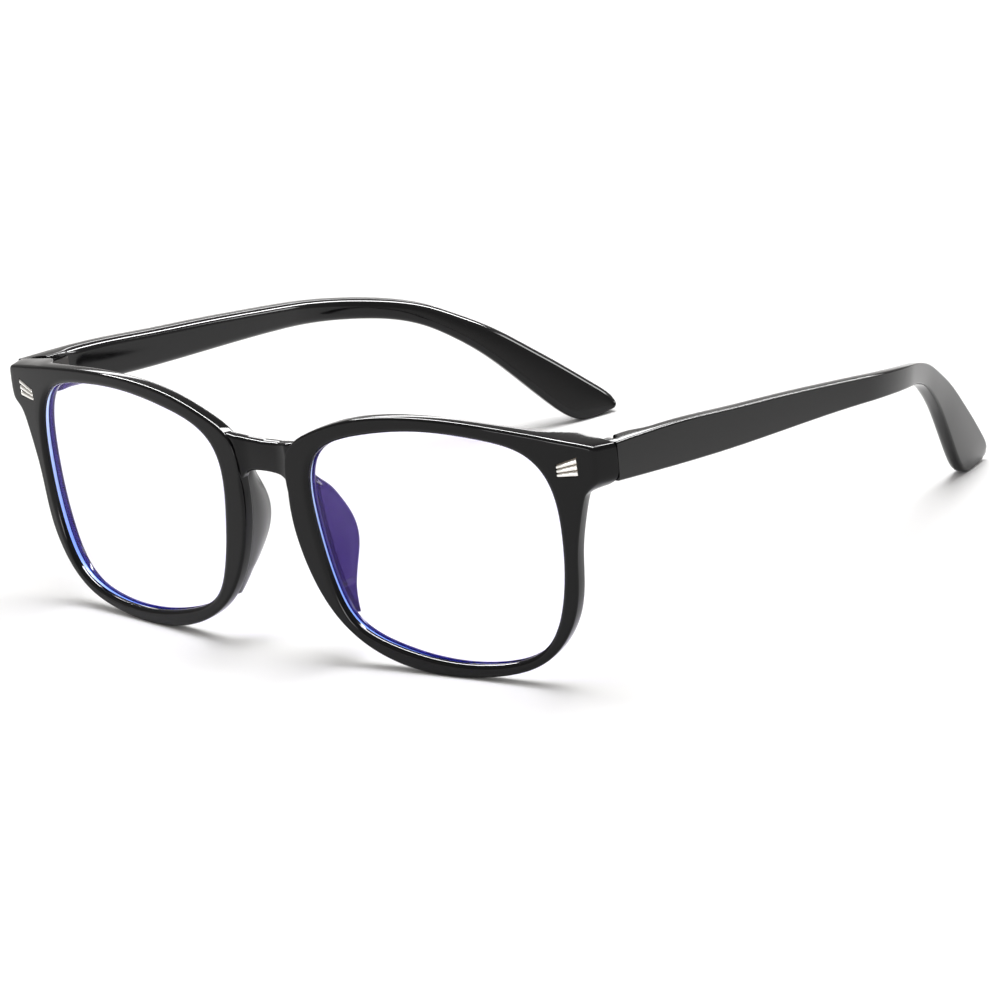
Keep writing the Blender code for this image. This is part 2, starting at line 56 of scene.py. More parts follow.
# Front: outlines as (u, z)
LENS_CENTRE = (36.5, -0.5)
APERTURE = [
    (62.6, 2.5), (61.5, 12.3), (57.2, 17.7), (48.5, 20.1), (36.0, 20.8), (24.0, 19.3), (14.6, 16.0),
    (10.9, 10.5), (11.2, 0.0), (13.4, -9.9), (17.2, -16.5), (26.0, -20.3), (37.0, -22.0), (49.0, -21.2),
    (57.2, -17.3), (61.3, -8.5),
]
RIM_OUTLINE = [
    (8.0, 16.3), (13.5, 19.3), (21.0, 21.8), (30.0, 23.2), (41.0, 23.4), (55.0, 22.2), (69.2, 20.2),
    (70.7, 19.6), (71.0, 18.2), (71.0, 14.6), (70.4, 13.2), (69.0, 12.0), (67.9, 10.0), (66.6, 5.6),
    (65.4, 0.0), (64.6, -7.0), (62.8, -13.0), (59.0, -18.4), (53.0, -22.2), (43.0, -24.3), (32.0, -24.4),
    (21.5, -21.8), (14.0, -16.9), (9.4, -10.6), (6.7, -3.6), (5.6, 2.5), (5.6, 8.0), (6.1, 13.0),
]
THICKNESS = [(50.0, 2.8), (62.0, 3.5)]
LIP = 1.0  # width of the soft bevel round each aperture
LIP_DEPTH = 0.75
FRONT_ROUNDING = 0.55
BRIDGE_EDGE_ROUNDING = 0.15  # sharper where the rims meet the sunk bridge
BRIDGE_EDGE_U = (8.6, 6.6)  # it sharpens between these, and between the next two
BRIDGE_EDGE_Z = (7.0, 9.0)
BACK_ROUNDING = 0.8
JOINT_ROUNDING = 0.1
GROOVE_FRONT = 1.1
GROOVE_BACK = 2.1
GROOVE_DEPTH = 0.65
GROOVE_TAPER = 0.1
GROOVE_WALL = 0.08  # what the chamfer behind the groove leaves of its rear wall
CHAMFER_SLOPE = 1.1
CHAMFER_MOST = 0.95
FRONT_SHARES = (0.15, 0.4, 0.65, 0.88)  # points across the rim's front face
BACK_SHARES = (0.95, 0.8, 0.6, 0.4, 0.25, 0.12, 0.04)
BACK_BLOCK_SHARES = (0.04, 0.3)  # the back face takes the joint block's shape between these
RIM_STATIONS = 320
ARC_STEPS = 6
OUTLINE_POINTS = 4000

# Bridge
BRIDGE_REACH = 8.6
BRIDGE_TOP = [(0.0, 15.6), (4.0, 15.75), (8.6, 16.4)]
BRIDGE_UNDERSIDE = [(0.0, 9.9), (3.4, 9.6), (5.4, 8.4), (6.6, 5.6), (8.6, 2.0)]
BRIDGE_RECESS = 0.9
BRIDGE_HOLLOW_FROM = 3.0  # from here outwards its front face sweeps forward to the rims
BRIDGE_HOLLOW_LENGTH = 3.9
BRIDGE_END_RECESS = 0.35
BRIDGE_BACK = 3.2
BRIDGE_BACK_SWEEP = 1.15
BRIDGE_ROUNDING = 0.6
BRIDGE_STATIONS = 61

# Endpieces and joint
JOINT_Y = 12.0
JOINT_BLOCK_U = (59.5, 63.5)  # the block that meets the temple grows between these, and the next two
JOINT_BLOCK_Z = (10.6, 12.4)
ENDPIECE_FLARE = 1.75
FLARE_U = (65.5, 71.0)

# Lenses
LENS_FRONT = 1.18
LENS_BACK = 2.02
LENS_EDGE_REACH = 0.5
LENS_DOME = 0.6
LENS_SHARES = (1.0, 0.9, 0.75, 0.6, 0.45, 0.3, 0.15, 0.04)  # its rings, from the edge inwards
LENS_STATIONS = 240

# Temples: keys as (y, z, reach above, reach below)
TEMPLE_KEYS = [
    (12.15, 16.95, 3.5, 3.5), (30.0, 15.6, 3.85, 3.85), (45.0, 14.2, 3.6, 3.6), (60.0, 13.0, 3.2, 3.2),
    (75.0, 11.7, 2.7, 2.7), (90.0, 10.1, 2.3, 2.3), (100.0, 8.6, 2.1, 2.1), (108.0, 6.9, 2.0, 2.0),
    (115.0, 4.4, 2.1, 2.1), (121.1, 0.9, 2.35, 2.35), (128.2, -4.1, 2.95, 2.95), (135.2, -10.3, 3.7, 3.7),
    (141.1, -15.8, 4.35, 4.35), (146.5, -20.9, 4.8, 3.9), (149.0, -23.2, 4.9, 1.6),
    (151.0, -25.0, 4.5, -1.3), (151.6, -25.5, 3.9, -2.4),
]
TEMPLE_OUTER_X = 72.0
TEMPLE_BEND_Y = 84.0
TEMPLE_BEND_RADIUS = 50.0
TEMPLE_BEND = math.radians(23.5)
TEMPLE_WIDTHS = [(12.0, 4.0), (19.0, 4.0), (23.0, 3.6), (110.0, 3.3), (150.0, 3.0)]  # against y
TEMPLE_STATIONS = 150
TIP_STATIONS = 40
TIP_FROM = 0.8  # share of the temple's length where its stations crowd together
TEMPLE_OUTER_ROUNDING = 0.45
TEMPLE_INNER_ROUNDING = [(19.0, 0.4), (23.0, 1.5)]  # against y

# Hinge pocket in each temple
PIN_X = 68.3
PIN_Y = 14.3
POCKET_LOW = 14.6
POCKET_HIGH = 24.5
POCKET_REACH = 5.0  # past the temple's inner face
NOTCH_RADIUS = 1.7
SLOT_SIDE = 0.9  # from the pin's axis to the slot's outer wall
BED_SIDE = 0.2
LEAF_END = 6.7
LEAF_TOP = 19.2

# Rivet plaques
PLAQUE_U = (63.5, 67.6)
PLAQUE_Z = 15.8
PLAQUE_SPREAD = (2.2, 3.4)
PLAQUE_RISE = 0.9
PLAQUE_BED = (0.3, 0.45)  # depths of the bed's front and back
POCKET_DEPTHS = (-1.0, 0.5)
POCKET_GAP = 0.06
BAR_SHARE = 0.8
BAR_FRONT = 0.02
BAR_BACK = 0.36
BAR_CROWN = 0.22
BAR_ENDS = (  # (share of the length, how far the bar has dropped)
    (0.01, 0.12), (0.03, 0.03), (0.06, 0.0), (0.5, 0.0), (0.94, 0.0), (0.97, 0.03), (0.99, 0.12),
)

# Nose pads: free edge as (x, y, z)
PAD_EDGE = [
    (6.8, 4.0, 11.4), (7.6, 5.2, 9.0), (8.9, 7.0, 7.0), (9.6, 9.2, 4.0), (10.3, 11.2, 0.0),
    (11.0, 11.4, -4.0), (11.7, 9.7, -8.0), (12.8, 7.6, -12.0), (14.4, 6.2, -15.8),
]
PAD_ROOT = (0.15, 2.6)  # its foot's two sides, from the rim's nasal edge
PAD_SEAT = 0.3  # how far the foot is sunk into the rim's back
PAD_LEAST_REACH = 0.9
PAD_TIP = 1.3
PAD_WEB_SHARE = 0.7  # the web's edge against the lobe's
PAD_LIP_Z = -10.6
PAD_INNER_SWELL = 0.35
PAD_WEB_HOLLOW = 0.45
PAD_LOBE_SWELL = 1.1
PAD_SHARES = (0.2, 0.35, 0.5, 0.65, 0.8)
PAD_STATIONS = 120

# Shading and camera
SHARP_ANGLE = math.radians(32)
CAMERA_AZIMUTH = math.radians(41.19)
CAMERA_ELEVATION = math.radians(16.25)
CAMERA_ROLL = math.radians(5.15)
CAMERA_TARGET = (20.1, 40.0, -4.02)
CAMERA_DISTANCE_M = 0.947
CAMERA_LENS = 187.7


# ---------------------------------------------------------------- curves

def cubic(points, closed=False):
    """A smooth function of 0..1 through the points, spaced by distance in their first two columns."""
    p = np.array(points, float)
    if closed:
        p = np.vstack([p, p[:1]])
    steps = np.linalg.norm(np.diff(p[:, :2], axis=0), axis=1) ** 0.5
    knots = np.concatenate([[0], np.cumsum(steps)]) / steps.sum()
    h = np.diff(knots)
    slope = np.diff(p, axis=0) / h[:, None]
    n = len(p)
    a = np.eye(n)
    b = np.zeros_like(p)
    for i in range(1, n - 1):
        a[i, i - 1:i + 2] = h[i - 1], 2 * (h[i - 1] + h[i]), h[i]
        b[i] = 6 * (slope[i] - slope[i - 1])
    if closed:
        a[0, [0, 1, -2]] = 2 * (h[-1] + h[0]), h[0], h[-1]
        b[0] = 6 * (slope[0] - slope[-1])
        a[-1, [0, -1]] = -1, 1
    bends = np.linalg.solve(a, b)

    def at(s):
        s = np.atleast_1d(s)
        i = np.clip(np.searchsorted(knots, s, side="right") - 1, 0, n - 2)
        x, k = (s - knots[i])[:, None], h[i][:, None]
        m0, m1 = bends[i], bends[i + 1]
        tangent = slope[i] - k * (2 * m0 + m1) / 6
        return p[i] + x * tangent + x ** 2 * m0 / 2 + x ** 3 * (m1 - m0) / (6 * k)

    return at


def smooth(low, high, value):
    """0 below low, 1 above high, and an S-curve between."""
    x = np.clip((value - low) / (high - low), 0, 1)
    return x * x * (3 - 2 * x)


def outward(loop):
    """Unit normals of a closed loop of (u, z) points, pointing out of it."""
    along = np.roll(loop, -1, axis=0) - np.roll(loop, 1, axis=0)
    normal = np.stack([along[:, 1], -along[:, 0]], axis=1)
    normal /= np.linalg.norm(normal, axis=1)[:, None]
    area = (loop[:, 0] * np.roll(loop[:, 1], -1) - loop[:, 1] * np.roll(loop[:, 0], -1)).sum()
    return normal * math.copysign(1, area)


def stations(loop, count, turn_share=0.35):
    """Points spread along a dense closed loop, closer together where it turns."""
    along = np.roll(loop, -1, axis=0) - loop
    length = np.linalg.norm(along, axis=1)
    heading = np.unwrap(np.arctan2(along[:, 1], along[:, 0]))
    turn = np.abs(np.diff(heading, append=heading[-1]))
    weight = (1 - turn_share) * length / length.sum() + turn_share * turn / turn.sum()
    place = np.concatenate([[0], np.cumsum(weight)])
    wanted = np.arange(count) / count * place[-1]
    whole = np.vstack([loop, loop[:1]])
    return np.stack([np.interp(wanted, place, whole[:, k]) for k in (0, 1)], axis=1)


def arc(centre, radii, start, end, steps=ARC_STEPS):
    """Points of an elliptical arc, with its angles in degrees."""
    turns = np.radians(np.linspace(start, end, steps))
    return [(centre[0] + radii[0] * math.cos(a), centre[1] + radii[1] * math.sin(a)) for a in turns]


# ---------------------------------------------------------------- the front's curved space

def thickness_at(u):
    return float(np.interp(u, *zip(*THICKNESS)))


def at_joint(u, z):
    """1 over the block that meets the temple, 0 over the rest of the front."""
    return float(smooth(*JOINT_BLOCK_U, u) * smooth(*JOINT_BLOCK_Z, z))


def on_front(u, z, t, block=0.0):
    """Place of (u, z, t). Where block is 1 the depth runs straight back to the joint plane."""
    turn = u / FACE_RADIUS
    x = (FACE_RADIUS - t) * math.sin(turn)
    y = FACE_RADIUS - (FACE_RADIUS - t) * math.cos(turn)
    bent = np.array([x, y * math.cos(LEAN) - z * math.sin(LEAN), z * math.cos(LEAN) + y * math.sin(LEAN)])
    w = block * at_joint(u, z)
    if w == 0 or t == 0:
        return bent
    face = on_front(u, z, 0)
    share = t / thickness_at(u)
    flare = ENDPIECE_FLARE * smooth(*FLARE_U, u)
    straight = face + share * np.array([flare, JOINT_Y - face[1], 0.0])
    return bent + w * (straight - bent)


def to_world(place):
    """Metres, in the frame's own space."""
    return (place[0] * MM, (place[1] - MIDDLE_Y) * MM, (place[2] + DATUM_HEIGHT) * MM)


# ---------------------------------------------------------------- meshes

def new_object(name, rings, *materials, closed_along=False):
    """A closed solid lofted through rings of places, each ring a closed loop of the same count."""
    bm = bmesh.new()
    made = [[bm.verts.new(to_world(p)) for p in ring] for ring in rings]
    pairs = list(zip(made, made[1:] + made[:1])) if closed_along else list(zip(made, made[1:]))
    for one, two in pairs:
        for k in range(len(one)):
            j = (k + 1) % len(one)
            bm.faces.new((one[k], two[k], two[j], one[j]))
    if not closed_along:
        bm.faces.new(list(reversed(made[0])))
        bm.faces.new(made[-1])
    bmesh.ops.recalc_face_normals(bm, faces=bm.faces)
    return finish(name, bm, *materials)


def finish(name, bm, *materials):
    mesh = bpy.data.meshes.new(name)
    bm.to_mesh(mesh)
    bm.free()
    shade(mesh)
    for material in materials:
        mesh.materials.append(material)
    obj = bpy.data.objects.new(name, mesh)
    bpy.context.scene.collection.objects.link(obj)
    return obj


def shade(mesh):
    mesh.shade_smooth()
    mesh.set_sharp_from_angle(angle=SHARP_ANGLE)


def mirrored(obj, name):
    bm = bmesh.new()
    bm.from_mesh(obj.data)
    for vert in bm.verts:
        vert.co.x = -vert.co.x
    bmesh.ops.reverse_faces(bm, faces=bm.faces)
    return finish(name, bm, *obj.data.materials)


def boolean(obj, other, operation):
    """Applies a Boolean of another object, which is then removed."""
    modifier = obj.modifiers.new(operation.title(), "BOOLEAN")
    modifier.operation = operation
    modifier.material_mode = "TRANSFER"
    modifier.object = other
    bpy.context.view_layer.update()
    evaluated = obj.evaluated_get(bpy.context.evaluated_depsgraph_get())
    mesh = bpy.data.meshes.new_from_object(evaluated)
    obj.modifiers.clear()
    old = obj.data
    obj.data = mesh
    bpy.data.meshes.remove(old)
    mesh.name = obj.name
    shade(mesh)
    bpy.data.objects.remove(other)


def box(name, low, high):
    bm = bmesh.new()
    bmesh.ops.create_cube(bm, size=1)
    low, high = np.array(to_world(low)), np.array(to_world(high))
    for vert in bm.verts:
        vert.co = (low + high) / 2 + np.array(vert.co) * (high - low)
    return finish(name, bm)


def upright_cylinder(name, centre, radius, bottom, top, sides=48):
    turns = [2 * math.pi * k / sides for k in range(sides)]
    rings = [
        [(centre[0] + radius * math.cos(a), centre[1] + radius * math.sin(a), z) for a in turns]
        for z in (bottom, top)
    ]
    return new_object(name, rings)


# ---------------------------------------------------------------- materials

def new_material(name):
    material = bpy.data.materials.new(name)
    material.use_nodes = True
    tree = material.node_tree
    return material, tree, tree.nodes["Principled BSDF"]


def noise(tree, scale, detail=3.0):
    """A noise value over the object's own space, with scale in features a metre."""
    place = tree.nodes.new("ShaderNodeTexCoord")
    made = tree.nodes.new("ShaderNodeTexNoise")
    made.inputs["Scale"].default_value = scale
    made.inputs["Detail"].default_value = detail
    tree.links.new(place.outputs["Object"], made.inputs["Vector"])
    return made.outputs["Fac"]


def spread(tree, value, low, high):
    """The 0..1 value mapped to low..high."""
    made = tree.nodes.new("ShaderNodeMapRange")
    made.inputs["To Min"].default_value = low
    made.inputs["To Max"].default_value = high
    tree.links.new(value, made.inputs["Value"])
    return made.outputs["Result"]


def colours(tree, value, low, high):
    made = tree.nodes.new("ShaderNodeMix")
    made.data_type = "RGBA"
    made.inputs["A"].default_value = (*low, 1)
    made.inputs["B"].default_value = (*high, 1)
    tree.links.new(value, made.inputs["Factor"])
    return made.outputs["Result"]


def bump(tree, shader, value, distance):
    made = tree.nodes.new("ShaderNodeBump")
    made.inputs["Distance"].default_value = distance * MM
    tree.links.new(value, made.inputs["Height"])
    tree.links.new(made.outputs["Normal"], shader.inputs["Normal"])


def black_plastic(name, roughness, ior):
    """Polished black plastic, with a faint mottling and unevenness that only its gloss shows."""
    material, tree, shader = new_material(name)
    mottle = noise(tree, 900.0)
    tree.links.new(colours(tree, mottle, (0.0015, 0.0015, 0.0018), (0.003, 0.003, 0.0035)),
                   shader.inputs["Base Color"])
    tree.links.new(spread(tree, noise(tree, 260.0), roughness * 0.85, roughness * 1.15),
                   shader.inputs["Roughness"])
    shader.inputs["IOR"].default_value = ior
    bump(tree, shader, noise(tree, 120.0, 1.0), 0.008)
    return material


def metal(name, colour, roughness):
    """Bright metal with fine wear in its polish."""
    material, tree, shader = new_material(name)
    grain = noise(tree, 3000.0)
    darker = tuple(0.82 * c for c in colour)
    tree.links.new(colours(tree, grain, darker, colour), shader.inputs["Base Color"])
    tree.links.new(spread(tree, grain, roughness * 0.7, roughness * 1.4), shader.inputs["Roughness"])
    shader.inputs["Metallic"].default_value = 1.0
    return material


def lens_material():
    """A clear coated lens: it lets nearly all light through and adds a violet-blue reflection."""
    material, tree, shader = new_material("coated_lens")
    tree.nodes.remove(shader)
    clear = tree.nodes.new("ShaderNodeBsdfTransparent")
    clear.inputs["Color"].default_value = (0.985, 0.985, 0.99, 1)
    coat = tree.nodes.new("ShaderNodeBsdfGlossy")
    coat.inputs["Roughness"].default_value = 0.02
    haze = noise(tree, 60.0, 1.0)
    tree.links.new(colours(tree, haze, (0.024, 0.014, 0.08), (0.03, 0.018, 0.092)), coat.inputs["Color"])
    both = tree.nodes.new("ShaderNodeAddShader")
    tree.links.new(clear.outputs["BSDF"], both.inputs[0])
    tree.links.new(coat.outputs["BSDF"], both.inputs[1])
    tree.links.new(both.outputs["Shader"], tree.nodes["Material Output"].inputs["Surface"])
    return material


def lens_edge_material():
    """The lens's edge, with a painted glow standing in for the light it gathers: pale above and bluer
    towards the bottom.
    """
    material, tree, shader = new_material("lens_edge")
    place = tree.nodes.new("ShaderNodeTexCoord")
    parts = tree.nodes.new("ShaderNodeSeparateXYZ")
    tree.links.new(place.outputs["Object"], parts.inputs["Vector"])
    height = tree.nodes.new("ShaderNodeMapRange")
    height.inputs["From Min"].default_value = 0.0
    height.inputs["From Max"].default_value = 2 * DATUM_HEIGHT * MM
    tree.links.new(parts.outputs["Z"], height.inputs["Value"])
    # painted light: the edge's tint runs from blue at the bottom to pale at the top
    tint = colours(tree, height.outputs["Result"], (0.12, 0.3, 1.0), (0.75, 0.88, 1.0))
    tree.links.new(tint, shader.inputs["Base Color"])
    # painted glow: the edge emits its own tint, standing in for the light it gathers
    tree.links.new(tint, shader.inputs["Emission Color"])
    shader.inputs["Emission Strength"].default_value = 0.45
    tree.links.new(spread(tree, noise(tree, 800.0), 0.3, 0.5), shader.inputs["Roughness"])
    return material


def floor_material():
    material, tree, shader = new_material("pale_floor")
    tree.links.new(colours(tree, noise(tree, 12.0), (0.93, 0.93, 0.93), (0.96, 0.96, 0.96)),
                   shader.inputs["Base Color"])
    shader.inputs["Roughness"].default_value = 0.9
    shader.inputs["Specular IOR Level"].default_value = 0.1
    return material


# ---------------------------------------------------------------- front frame

def rim_section(inner, inner_out, outer, outer_out):
    """One rim section as (u, z, t, block) round from the lens groove's front lip."""
    back_face = thickness_at((inner[0] + outer[0]) / 2)

    def at_inner(offset, t):
        return (*(inner + inner_out * offset), t, 0.0)

    def at_outer(offset, t):
        return (*(outer - outer_out * offset), t, 1.0)

    lip = inner + inner_out * LIP
    at_bridge = float(smooth(*BRIDGE_EDGE_U, outer[0]) * smooth(*BRIDGE_EDGE_Z, outer[1]))
    front_rounding = FRONT_ROUNDING + (BRIDGE_EDGE_ROUNDING - FRONT_ROUNDING) * at_bridge
    chamfer = back_face - GROOVE_BACK - GROOVE_WALL
    back_rounding = BACK_ROUNDING + (JOINT_ROUNDING - BACK_ROUNDING) * at_joint(*outer)
    front_edge, back_edge = outer - outer_out * front_rounding, outer - outer_out * back_rounding
    front = [(*(lip + (front_edge - lip) * f), 0.0, 0.0) for f in FRONT_SHARES]
    back = [
        (*(lip + (back_edge - lip) * f), back_face, float(smooth(*BACK_BLOCK_SHARES, f)))
        for f in BACK_SHARES
    ]
    inner_bevel = [at_inner(*p) for p in arc((LIP, LIP_DEPTH), (LIP, LIP_DEPTH), 180, 270)]
    front_round = [at_outer(*p) for p in arc((front_rounding,) * 2, (front_rounding,) * 2, 270, 180)]
    deep = back_face - back_rounding
    back_round = [at_outer(*p) for p in arc((back_rounding, deep), (back_rounding,) * 2, 180, 90)]
    slope = (min(CHAMFER_MOST, CHAMFER_SLOPE * chamfer), chamfer)
    back_lip = [at_inner(*p) for p in arc((slope[0], back_face - chamfer), slope, 90, 180)]
    return [
        at_inner(0, GROOVE_FRONT),
        *inner_bevel,
        *front,
        *front_round,
        *back_round,
        *back,
        *back_lip,
        at_inner(0, GROOVE_BACK),
        at_inner(GROOVE_DEPTH, GROOVE_BACK - GROOVE_TAPER),
        at_inner(GROOVE_DEPTH, GROOVE_FRONT + GROOVE_TAPER),
    ]


def aperture_at(directions):
    """Aperture points seen from the lens centre in the given directions."""
    dense = cubic(APERTURE, closed=True)(np.linspace(0, 1, 2400, endpoint=False))
    angle = np.arctan2(dense[:, 1] - LENS_CENTRE[1], dense[:, 0] - LENS_CENTRE[0])
    order = np.argsort(angle)
    angle, dense = angle[order], dense[order]
    columns = [np.interp(directions, angle, dense[:, k], period=2 * math.pi) for k in (0, 1)]
    return np.stack(columns, axis=1)


def build_rim(name, material):
    dense = cubic(RIM_OUTLINE, closed=True)(np.linspace(0, 1, OUTLINE_POINTS, endpoint=False))
    outer = stations(dense, RIM_STATIONS)
    direction = np.arctan2(outer[:, 1] - LENS_CENTRE[1], outer[:, 0] - LENS_CENTRE[0])
    inner = aperture_at(direction)
    sections = zip(inner, outward(inner), outer, outward(outer))
    rings = [[on_front(*point) for point in rim_section(*section)] for section in sections]
    return new_object(name, rings, material, closed_along=True)


def bridge_section(u):
    """Section of the bridge at u: front face, rounded edges and back, as places."""
    reach = abs(u)
    top = np.interp(reach, *zip(*BRIDGE_TOP))
    under = cubic([(p[0], p[1], 0) for p in BRIDGE_UNDERSIDE])(np.linspace(0, 1, 200))
    bottom = np.interp(reach, under[:, 0], under[:, 1])
    sweep = max(0.0, reach - BRIDGE_HOLLOW_FROM) / BRIDGE_HOLLOW_LENGTH
    front = max(BRIDGE_END_RECESS, BRIDGE_RECESS * (1 - sweep ** 2))
    back = BRIDGE_BACK - BRIDGE_BACK_SWEEP * (reach / BRIDGE_REACH) ** 2
    r = BRIDGE_ROUNDING
    outline = [
        *arc((front + r, bottom + r), (r, r), 270, 180),
        (front, (top + bottom) / 2),
        *arc((front + r, top - r), (r, r), 180, 90),
        *arc((back - r, top - r), (r, r), 90, 0),
        *arc((back - r, bottom + r), (r, r), 360, 270),
    ]
    return [on_front(u, z, t) for t, z in outline]


def build_front(material):
    front = build_rim("front", material)
    other = mirrored(front, "right_rim")
    along = np.linspace(-BRIDGE_REACH, BRIDGE_REACH, BRIDGE_STATIONS)
    bridge = new_object("bridge", [bridge_section(u) for u in along], material)
    boolean(front, bridge, "UNION")
    boolean(front, other, "UNION")
    return front


# ---------------------------------------------------------------- lenses

def build_lens(name, coat, glowing_edge):
    """A domed shell of even thickness, whose outer band has the edge material with its painted glow."""
    turns = np.linspace(-math.pi, math.pi, LENS_STATIONS, endpoint=False)
    edge = aperture_at(turns)
    edge = edge + outward(edge) * LENS_EDGE_REACH
    centre = np.array(LENS_CENTRE)

    def ring(share, t):
        dome = LENS_DOME * (1 - share ** 2)
        return [on_front(*(centre + (p - centre) * share), t - dome) for p in edge]

    front = [ring(s, LENS_FRONT) for s in reversed(LENS_SHARES)]
    back = [ring(s, LENS_BACK) for s in LENS_SHARES]
    lens = new_object(name, front + back, coat, glowing_edge)
    outermost = range((len(LENS_SHARES) - 1) * len(edge), (len(LENS_SHARES) + 1) * len(edge))
    for face in lens.data.polygons:
        if all(corner in outermost for corner in face.vertices):
            face.material_index = 1
    return lens


# ---------------------------------------------------------------- temples

def temple_turn(y):
    """How far the temple has turned inwards at y."""
    return math.asin(np.clip((y - TEMPLE_BEND_Y) / TEMPLE_BEND_RADIUS, 0.0, math.sin(TEMPLE_BEND)))


def temple_outer_x(y):
    """The outer face's x: straight behind the hinge, an arc, then straight again."""
    turn = temple_turn(y)
    arc_end = TEMPLE_BEND_Y + TEMPLE_BEND_RADIUS * math.sin(TEMPLE_BEND)
    drop = TEMPLE_BEND_RADIUS * (1 - math.cos(turn)) + max(0.0, y - arc_end) * math.tan(TEMPLE_BEND)
    return TEMPLE_OUTER_X - drop


def temple_inward(y):
    """Horizontal unit direction from the outer face to the inner one."""
    turn = temple_turn(y)
    return np.array([-math.cos(turn), -math.sin(turn), 0.0])


def temple_section(width, bottom, top, outer_radius, inner_radius):
    """Section as (across, up) points, across from 0 on the outer face to width on the inner one."""
    most = 0.45 * min(width, top - bottom)
    outer, inner = min(outer_radius, most), min(inner_radius, most)
    return [
        *arc((outer, top - outer), (outer, outer), 90, 180, 5),
        *arc((outer, bottom + outer), (outer, outer), 180, 270, 5),
        *arc((width - inner, bottom + inner), (inner, inner), 270, 360, 8),
        *arc((width - inner, top - inner), (inner, inner), 0, 90, 8),
    ]


def build_temple(name, material):
    line = cubic(TEMPLE_KEYS)
    arm = np.linspace(0, TIP_FROM, TEMPLE_STATIONS - TIP_STATIONS, endpoint=False)
    rings = []
    for s in np.concatenate([arm, np.linspace(TIP_FROM, 1, TIP_STATIONS)]):
        y, z, up, down = line(s)[0]
        ahead = line(min(1, s + 0.002))[0][:2] - line(max(0, s - 0.002))[0][:2]
        ahead = np.array([1.0, 0.0]) if s == 0 else ahead / np.linalg.norm(ahead)
        rise = np.array([0.0, -ahead[1], ahead[0]])
        width = np.interp(y, *zip(*TEMPLE_WIDTHS))
        base = np.array([temple_outer_x(y), y, z])
        inner_rounding = np.interp(y, *zip(*TEMPLE_INNER_ROUNDING))
        section = temple_section(width, -down, up, TEMPLE_OUTER_ROUNDING, inner_rounding)
        rings.append([base + temple_inward(y) * across + rise * height for across, height in section])
    temple = new_object(name, rings, material)
    notch = upright_cylinder("notch", (PIN_X, PIN_Y), NOTCH_RADIUS, POCKET_LOW, POCKET_HIGH)
    inside = PIN_X - POCKET_REACH
    slot = box("slot", (inside, JOINT_Y - 1, POCKET_LOW), (PIN_X + SLOT_SIDE, PIN_Y, POCKET_HIGH))
    bed = box("bed", (inside, PIN_Y, POCKET_LOW), (PIN_X + BED_SIDE, PIN_Y + LEAF_END, LEAF_TOP))
    for cutter in (notch, slot, bed):
        boolean(temple, cutter, "DIFFERENCE")
    return temple


# ---------------------------------------------------------------- rivet plaques

def plaque_spread(share):
    """Height of the fan at a share of its length from the lens side."""
    return PLAQUE_SPREAD[0] + (PLAQUE_SPREAD[1] - PLAQUE_SPREAD[0]) * share


def plaque_middle(share):
    """Middle height of the fan at a share of its length from the lens side."""
    return PLAQUE_Z + PLAQUE_RISE * (share - 0.5)


def plaque_wedge(name, grow, depth_front, depth_back, *materials):
    near, far = PLAQUE_U[0] - grow, PLAQUE_U[1] + grow
    near_half, far_half = plaque_spread(0) / 2 + grow, plaque_spread(1) / 2 + grow
    loop = [
        (near, plaque_middle(0) - near_half), (far, plaque_middle(1) - far_half),
        (far, plaque_middle(1) + far_half), (near, plaque_middle(0) + near_half),
    ]
    rings = [[on_front(*p, t) for p in loop] for t in (depth_front, depth_back)]
    return new_object(name, rings, *materials)


def build_plaque(name, bar_metal, painted_shade_bed):
    """A bed of dark metal with three bright crowned bars that fan out across it; the bed's darkness is
    painted shade for the gaps between the bars.
    """
    plaque = plaque_wedge(name, 0.0, *PLAQUE_BED, painted_shade_bed)
    length = PLAQUE_U[1] - PLAQUE_U[0]
    for number in (-1, 0, 1):
        rings = []
        for share, drop in BAR_ENDS:
            u = PLAQUE_U[0] + length * share
            pitch = plaque_spread(share) / 3
            middle, half = plaque_middle(share) + number * pitch, BAR_SHARE * pitch / 2
            crown = arc((0, BAR_FRONT + drop), (half, BAR_CROWN), 180, 360, 9)
            outline = [(-half, BAR_BACK), *crown, (half, BAR_BACK)]
            rings.append([on_front(u, middle + z, t) for z, t in outline])
        boolean(plaque, new_object("bar", rings, bar_metal), "UNION")
    return plaque


# ---------------------------------------------------------------- nose pads

def swollen(start, end, swell):
    """Points between two places on a line that bulges by swell at its middle."""
    return [start + (end - start) * f + swell * math.sin(math.pi * f) for f in PAD_SHARES]


